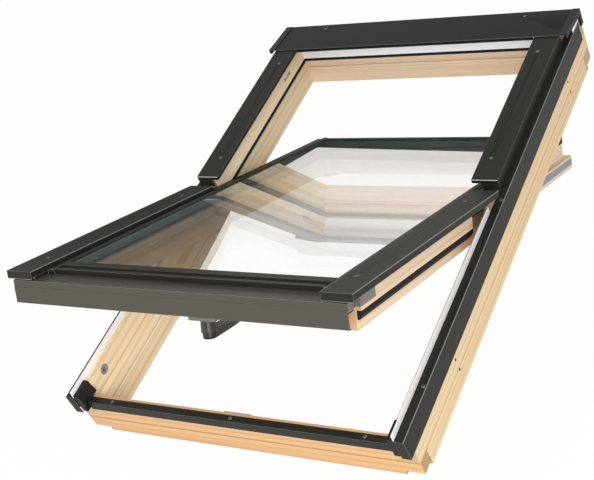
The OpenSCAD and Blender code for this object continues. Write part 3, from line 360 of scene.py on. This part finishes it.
# grain direction, pith and board of each timber piece
timber = {
    "left_jamb": ("Y", (-0.47, 0.0, 0.21), "pale"),
    "right_jamb": ("Y", (0.36, 0.1, -0.05), "cream"),
    "head_rail": ("X", (0.0, 0.62, -0.03), "rosy"),
    "sill_rail": ("X", (0.1, -0.64, -0.03), "warm"),
    "left_stop_batten": ("Y", (-0.31, 0.2, 0.17), "light"),
    "right_stop_batten": ("Y", (0.30, 0.4, 0.18), "light"),
    "left_stile": ("Y", (-0.37, 0.3, -0.10), "rosy"),
    "right_stile": ("Y", (0.39, 0.0, -0.13), "rosy"),
    "bottom_rail": ("X", (0.3, -0.58, 0.36), "rosy"),
    "top_rail": ("X", (0.2, 0.5, -0.20), "rosy"),
}
sashTimber = ("left_stile", "right_stile", "bottom_rail", "top_rail")
fixingHoles = [(y, z) for y in (-370, 433) for z in (37, 66)]
holesOf = {"left_jamb": fixingHoles, "right_jamb": fixingHoles}
glueOf = {"left_jamb": (42, 84), "right_jamb": (42, 84), "head_rail": (42, 84)}
finishOfNode = {
    "handle_lever": neckSteel, "handle_grip": gripPlastic, "handle_base": baseGrey,
    "apron": litApronPaint, "head_cover": shadedHeadPaint,
    "left_corner_plate": cornerSheet, "right_corner_plate": cornerSheet,
    "left_jamb_cover": jambCoverPaint, "right_jamb_cover": jambCoverPaint,
    "left_sash_cover": sashCoverPaint, "right_sash_cover": sashCoverPaint,
}
finishOf = {
    "cover": coverPaint, "black_plastic": blackPlastic, "rubber": rubber,
    "bright_aluminium": whitenedAluminium, "slate_strip": slateStrip, "dark_steel": darkSteel,
    "steel": zincSteel, "grey_plastic": greyPlastic, "spacer": spacerMetal, "glass": paneGlass,
    "brass": brass,
}
slotOf = {part["node"]: part["material_slot"] for part in frame["record"]["subparts"]}
edgeRound = {"timber": 1.2, "cover": 0.5, "black_plastic": 0.8, "grey_plastic": 0.8, "steel": 0.4,
             "dark_steel": 0.6, "rubber": 0.8, "bright_aluminium": 0.4, "slate_strip": 0.4}
edgeLook = {"weld": 0.00001, "segments": 2, "sharp": math.radians(35)}


def paint(piece, material):
    piece.data.materials.clear()
    piece.data.materials.append(material)


def roundEdges(piece, width):
    weld = piece.modifiers.new("joined", "WELD")
    weld.merge_threshold = edgeLook["weld"]
    rounding = piece.modifiers.new("rounded", "BEVEL")
    rounding.width = width * mm
    rounding.segments = edgeLook["segments"]
    rounding.limit_method = "ANGLE"
    rounding.angle_limit = edgeLook["sharp"]
    rounding.harden_normals = True


for name, piece in nodes.items():
    slotName = slotOf[name]
    if slotName == "timber":
        axis, pith, board = timber[name]
        tilt = -openAngle if name in sashTimber else 0.0
        paint(piece, pine("pine_" + name, axis, pith, board, tilt, glueOf.get(name, ()),
                          holesOf.get(name, ())))
    else:
        paint(piece, finishOfNode.get(name, finishOf[slotName]))
    if slotName in edgeRound and not name.endswith("_screws"):
        roundEdges(piece, edgeRound[slotName])
print("finishes on every node")


def makeObject(name, bm, material):
    mesh = bpy.data.meshes.new(name)
    bm.to_mesh(mesh)
    bm.free()
    made = bpy.data.objects.new(name, mesh)
    scene.collection.objects.link(made)
    made.data.materials.append(material)
    return made


def seenRays(tree):
    path = addNode(tree, "ShaderNodeLightPath")
    first = maths(tree, "MAXIMUM", path.outputs["Is Camera Ray"], path.outputs["Is Glossy Ray"])
    return maths(tree, "MAXIMUM", first, path.outputs["Is Transmission Ray"])


# white floor that keeps the shadow, and white air
stageLook = {"floorZ": -0.46, "floorHalf": 9.0, "matt": (0.85, 0.85, 0.85, 1), "white": 0.95,
             "ambient": 0.68}
floorWhite, tree = startBare("floorWhite")
matt = addNode(tree, "ShaderNodeBsdfDiffuse", {"Color": stageLook["matt"]})
glow = addNode(tree, "ShaderNodeEmission", {"Color": (1, 1, 1, 1), "Strength": 1.0})
share = maths(tree, "MULTIPLY", seenRays(tree), stageLook["white"])
blend = addNode(tree, "ShaderNodeMixShader", {0: share, 1: matt.outputs["BSDF"],
                                              2: glow.outputs["Emission"]})
setSurface(tree, blend.outputs["Shader"])
bm = bmesh.new()
bmesh.ops.create_grid(bm, x_segments=1, y_segments=1, size=stageLook["floorHalf"])
bmesh.ops.translate(bm, verts=bm.verts, vec=(0, 0, stageLook["floorZ"]))
floor = makeObject("studioFloor", bm, floorWhite)

world = bpy.data.worlds.new("studioAir")
world.use_nodes = True
scene.world = world
tree = world.node_tree
air = tree.nodes["Background"]
air.inputs["Color"].default_value = (1, 1, 1, 1)
amount = span(tree, seenRays(tree), stageLook["ambient"], 1.0)
tree.links.new(amount, air.inputs["Strength"])

# a dark card behind the window, seen only in what mirrors it
cardLook = {
    "corners": ((-0.341, 1.646, -0.372), (-0.877, 1.307, -0.304), (-1.081, 1.178, -0.114),
                (-1.221, 1.089, 0.350), (-1.928, 0.642, 0.350), (-1.928, 0.642, -0.450),
                (-0.212, 1.727, -0.450)),
    "colour": (0.012, 0.016, 0.017),
}
cardPaper = finish("cardPaper", cardLook["colour"], 0.1, (0.7, 0.9), 300.0, 0.1,
                   specular=0.1)
bm = bmesh.new()
bm.faces.new([bm.verts.new(corner) for corner in cardLook["corners"]])
card = makeObject("slateCard", bm, cardPaper)
card.visible_camera = card.visible_diffuse = False
card.visible_transmission = card.visible_shadow = False

lamps = {
    "keyLamp": {"place": (1.7, -3.0, 1.2), "aim": (0, -0.2, 0.1), "size": 2.0, "watts": 42},
    "frontLamp": {"place": (1.3, -2.4, 2.3), "aim": (0, 0.1, 0.1), "size": 1.6, "watts": 45},
    "sideLamp": {"place": (-2.2, -2.4, 1.2), "aim": (0, -0.2, 0.2), "size": 2.0, "watts": 12},
    "topLamp": {"place": (0.6, -0.8, 3.2), "aim": (0, -0.1, 0.1), "size": 2.0, "watts": 16},
}
for name, lamp in lamps.items():
    data = bpy.data.lights.new(name, "AREA")
    data.shape = "SQUARE"
    data.size = lamp["size"]
    data.energy = lamp["watts"]
    made = bpy.data.objects.new(name, data)
    toward = Vector(lamp["aim"]) - Vector(lamp["place"])
    facing = toward.to_track_quat("-Z", "Y").to_matrix().to_4x4()
    made.matrix_world = Matrix.Translation(lamp["place"]) @ facing
    scene.collection.objects.link(made)
print("floor and lamps placed")


# extruding leaves new faces in another order each run, so they are put in order by their corners
def sortFaces(bm):
    bm.verts.index_update()
    count = len(bm.verts)

    def rank(face):
        first, second, third = sorted(corner.index for corner in face.verts)[:3]
        return (first * count + second) * count + third

    bm.faces.sort(key=rank)


def addPiece(name, bm, material, body, replaced=()):
    bmesh.ops.recalc_face_normals(bm, faces=bm.faces)
    sortFaces(bm)
    piece = makeObject(name, bm, material)
    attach(piece, body)
    if replaced:
        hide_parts(*replaced)
    return piece


# each edge once
def edgesOf(corners):
    return list(dict.fromkeys(edge for corner in corners for edge in corner.link_edges))


# a ring of edges drawn out: its new corners and its new edges
def drawRing(bm, edges):
    made = bmesh.ops.extrude_edge_only(bm, edges=edges)["geom"]
    corners = [part for part in made if isinstance(part, bmesh.types.BMVert)]
    outer = [part for part in made if isinstance(part, bmesh.types.BMEdge)
             and all(corner in corners for corner in part.verts)]
    return corners, outer


# pan head screws with a cross recess, in place of the plain heads
screwLook = {"head": 4.0, "crown": 2.9, "tall": 1.6, "brow": 0.45, "cross": 1.75, "arm": 0.42,
             "deep": 0.9, "sides": 24}


def addScrew(bm, place):
    look = screwLook
    before = set(bm.verts)
    tall = look["tall"] * mm
    ring = bmesh.ops.create_circle(bm, segments=look["sides"], radius=look["crown"] * mm)["verts"]
    ringEdges = edgesOf(ring)
    a, b = look["arm"] * mm, look["cross"] * mm
    cross = ((a, b), (-a, b), (-a, a), (-b, a), (-b, -a), (-a, -a), (-a, -b), (a, -b), (a, -a),
             (b, -a), (b, a), (a, a))
    recess = bm.faces.new([bm.verts.new((x, y, 0)) for x, y in cross])
    bmesh.ops.bridge_loops(bm, edges=ringEdges + list(recess.edges))
    recessFloor = bmesh.ops.extrude_discrete_faces(bm, faces=[recess])["faces"][0]
    bmesh.ops.translate(bm, verts=recessFloor.verts, vec=(0, 0, -look["deep"] * mm))
    rim, rimEdges = drawRing(bm, ringEdges)
    wide = look["head"] / look["crown"]
    bmesh.ops.scale(bm, verts=rim, vec=(wide, wide, 1))
    bmesh.ops.translate(bm, verts=rim, vec=(0, 0, -look["brow"] * tall))
    skirt, skirtEdges = drawRing(bm, rimEdges)
    bmesh.ops.translate(bm, verts=skirt, vec=(0, 0, (look["brow"] - 1) * tall))
    bmesh.ops.edgeloop_fill(bm, edges=skirtEdges)
    made = [corner for corner in bm.verts if corner not in before]
    bmesh.ops.translate(bm, verts=made, vec=(0, 0, tall))
    bmesh.ops.transform(bm, matrix=place, verts=made)


def at(x, y, z, lean, axis="X"):
    return Matrix.Translation((x * mm, y * mm, z * mm)) @ Matrix.Rotation(lean, 4, axis)


def screwRow(row):
    return [at(x, y, row["z"], row.get("lean", 0.0)) for x in row["x"] for y in row["y"]]


headFall, headDepth = 10.5, 108.0
headSlope = math.atan2(headFall, headDepth)
coverScrewLook = {
    "hoods": {"x": (-342, 342), "y": (85, 431), "z": 157.5},
    "jambs": {"x": (-385, 385), "y": (-482.6, -7.4), "z": 128.4},
    "sill": {"x": (-296, 0, 296), "y": (-585.4,), "z": 99.2},
    "head": {"x": (-268, 268), "y": (572,), "z": 151.76, "lean": -headSlope},
}
bm = bmesh.new()
for row in coverScrewLook.values():
    for place in screwRow(row):
        addScrew(bm, place)
addPiece("coverScrews", bm, screwSteel, "frame", ("frame_screws",))

sashScrewLook = {
    "brackets": {"x": 339, "y": (-34, -54), "z": -18.0},
    "covers": {"x": (-348.6, 348.6), "y": (-79, -528), "z": 13.2},
    "bottom": {"x": (-209, 209), "y": (-545.6,), "z": -1.0},
}
bm = bmesh.new()
row = sashScrewLook["brackets"]
for sign in (-1, 1):
    for y in row["y"]:
        addScrew(bm, sashPlace @ at(sign * row["x"], y, row["z"], sign * math.pi / 2, "Y"))
for face in bm.faces:
    face.material_index = 1  # the brackets' screws are brass
for key in ("covers", "bottom"):
    for place in screwRow(sashScrewLook[key]):
        addScrew(bm, sashPlace @ place)
sashScrewPiece = addPiece("sashScrews", bm, screwSteel, "sash", ("sash_screws",))
sashScrewPiece.data.materials.append(brass)
print("screws made")


def addBar(bm, low, high, place, soften):
    made = bmesh.ops.create_cube(bm, size=1.0)["verts"]
    bmesh.ops.scale(bm, verts=made, vec=[(b - a) * mm for a, b in zip(low, high)])
    bmesh.ops.translate(bm, verts=made, vec=[(a + b) / 2 * mm for a, b in zip(low, high)])
    made = bmesh.ops.bevel(bm, geom=edgesOf(made), offset=soften * mm, segments=3, profile=0.5,
                           affect="EDGES", material=-1)["verts"]
    bmesh.ops.transform(bm, matrix=place, verts=made)


# bars on the right and, mirrored, on the left
def trimBars(bars, place, soften):
    bm = bmesh.new()
    for low, high in bars:
        addBar(bm, low, high, place, soften)
        addBar(bm, (-high[0], *low[1:]), (-low[0], *high[1:]), place, soften)
    return bm


framePlace = Matrix.Identity(4)

lipLook = {"bars": (((346.8, 30, 74), (350.0, 540, 84)),), "soften": 1.2}
bm = trimBars(lipLook["bars"], framePlace, lipLook["soften"])
addPiece("gasketLips", bm, rubber, "frame")

# dark edge under the lower end of each sash cover, at its side and its front
noseLook = {
    "bars": (((321.9, -600.6, -6.4), (323.2, -562.6, 0.9)),
             ((321.9, -600.9, -6.4), (347, -600, -2.5))),
    "soften": 0.25,
}
bm = trimBars(noseLook["bars"], sashPlace, noseLook["soften"])
addPiece("noseStrips", bm, coverPaint, "sash")

# bare metal where the side profiles are sawn off: bead top and side, bead foot, cover foot
cutLook = {
    "bars": (((304.4, -566.7, 4.1), (315.5, -565.9, 5.1)),
             ((304.0, -566.7, 0.4), (305.0, -565.9, 4.4)),
             ((304.0, -563.3, -6.0), (304.9, -562.5, 0.4)),
             ((323.0, -609.3, -2.8), (384, -608.9, -2.1))),
    "soften": 0.2,
}
bm = trimBars(cutLook["bars"], sashPlace, cutLook["soften"])
addPiece("sawnEnds", bm, zincSteel, "sash")

# a thin near-white strip along each hood's lower end: the bare cut edge, with a painted highlight of its glint
hoodRimLook = {"bars": (((319, 19.5, 156.8), (376, 20.3, 157.6)),), "soften": 0.2}
bm = trimBars(hoodRimLook["bars"], framePlace, hoodRimLook["soften"])
addPiece("hoodRims", bm, whitenedAluminium, "frame")
print("trim made")
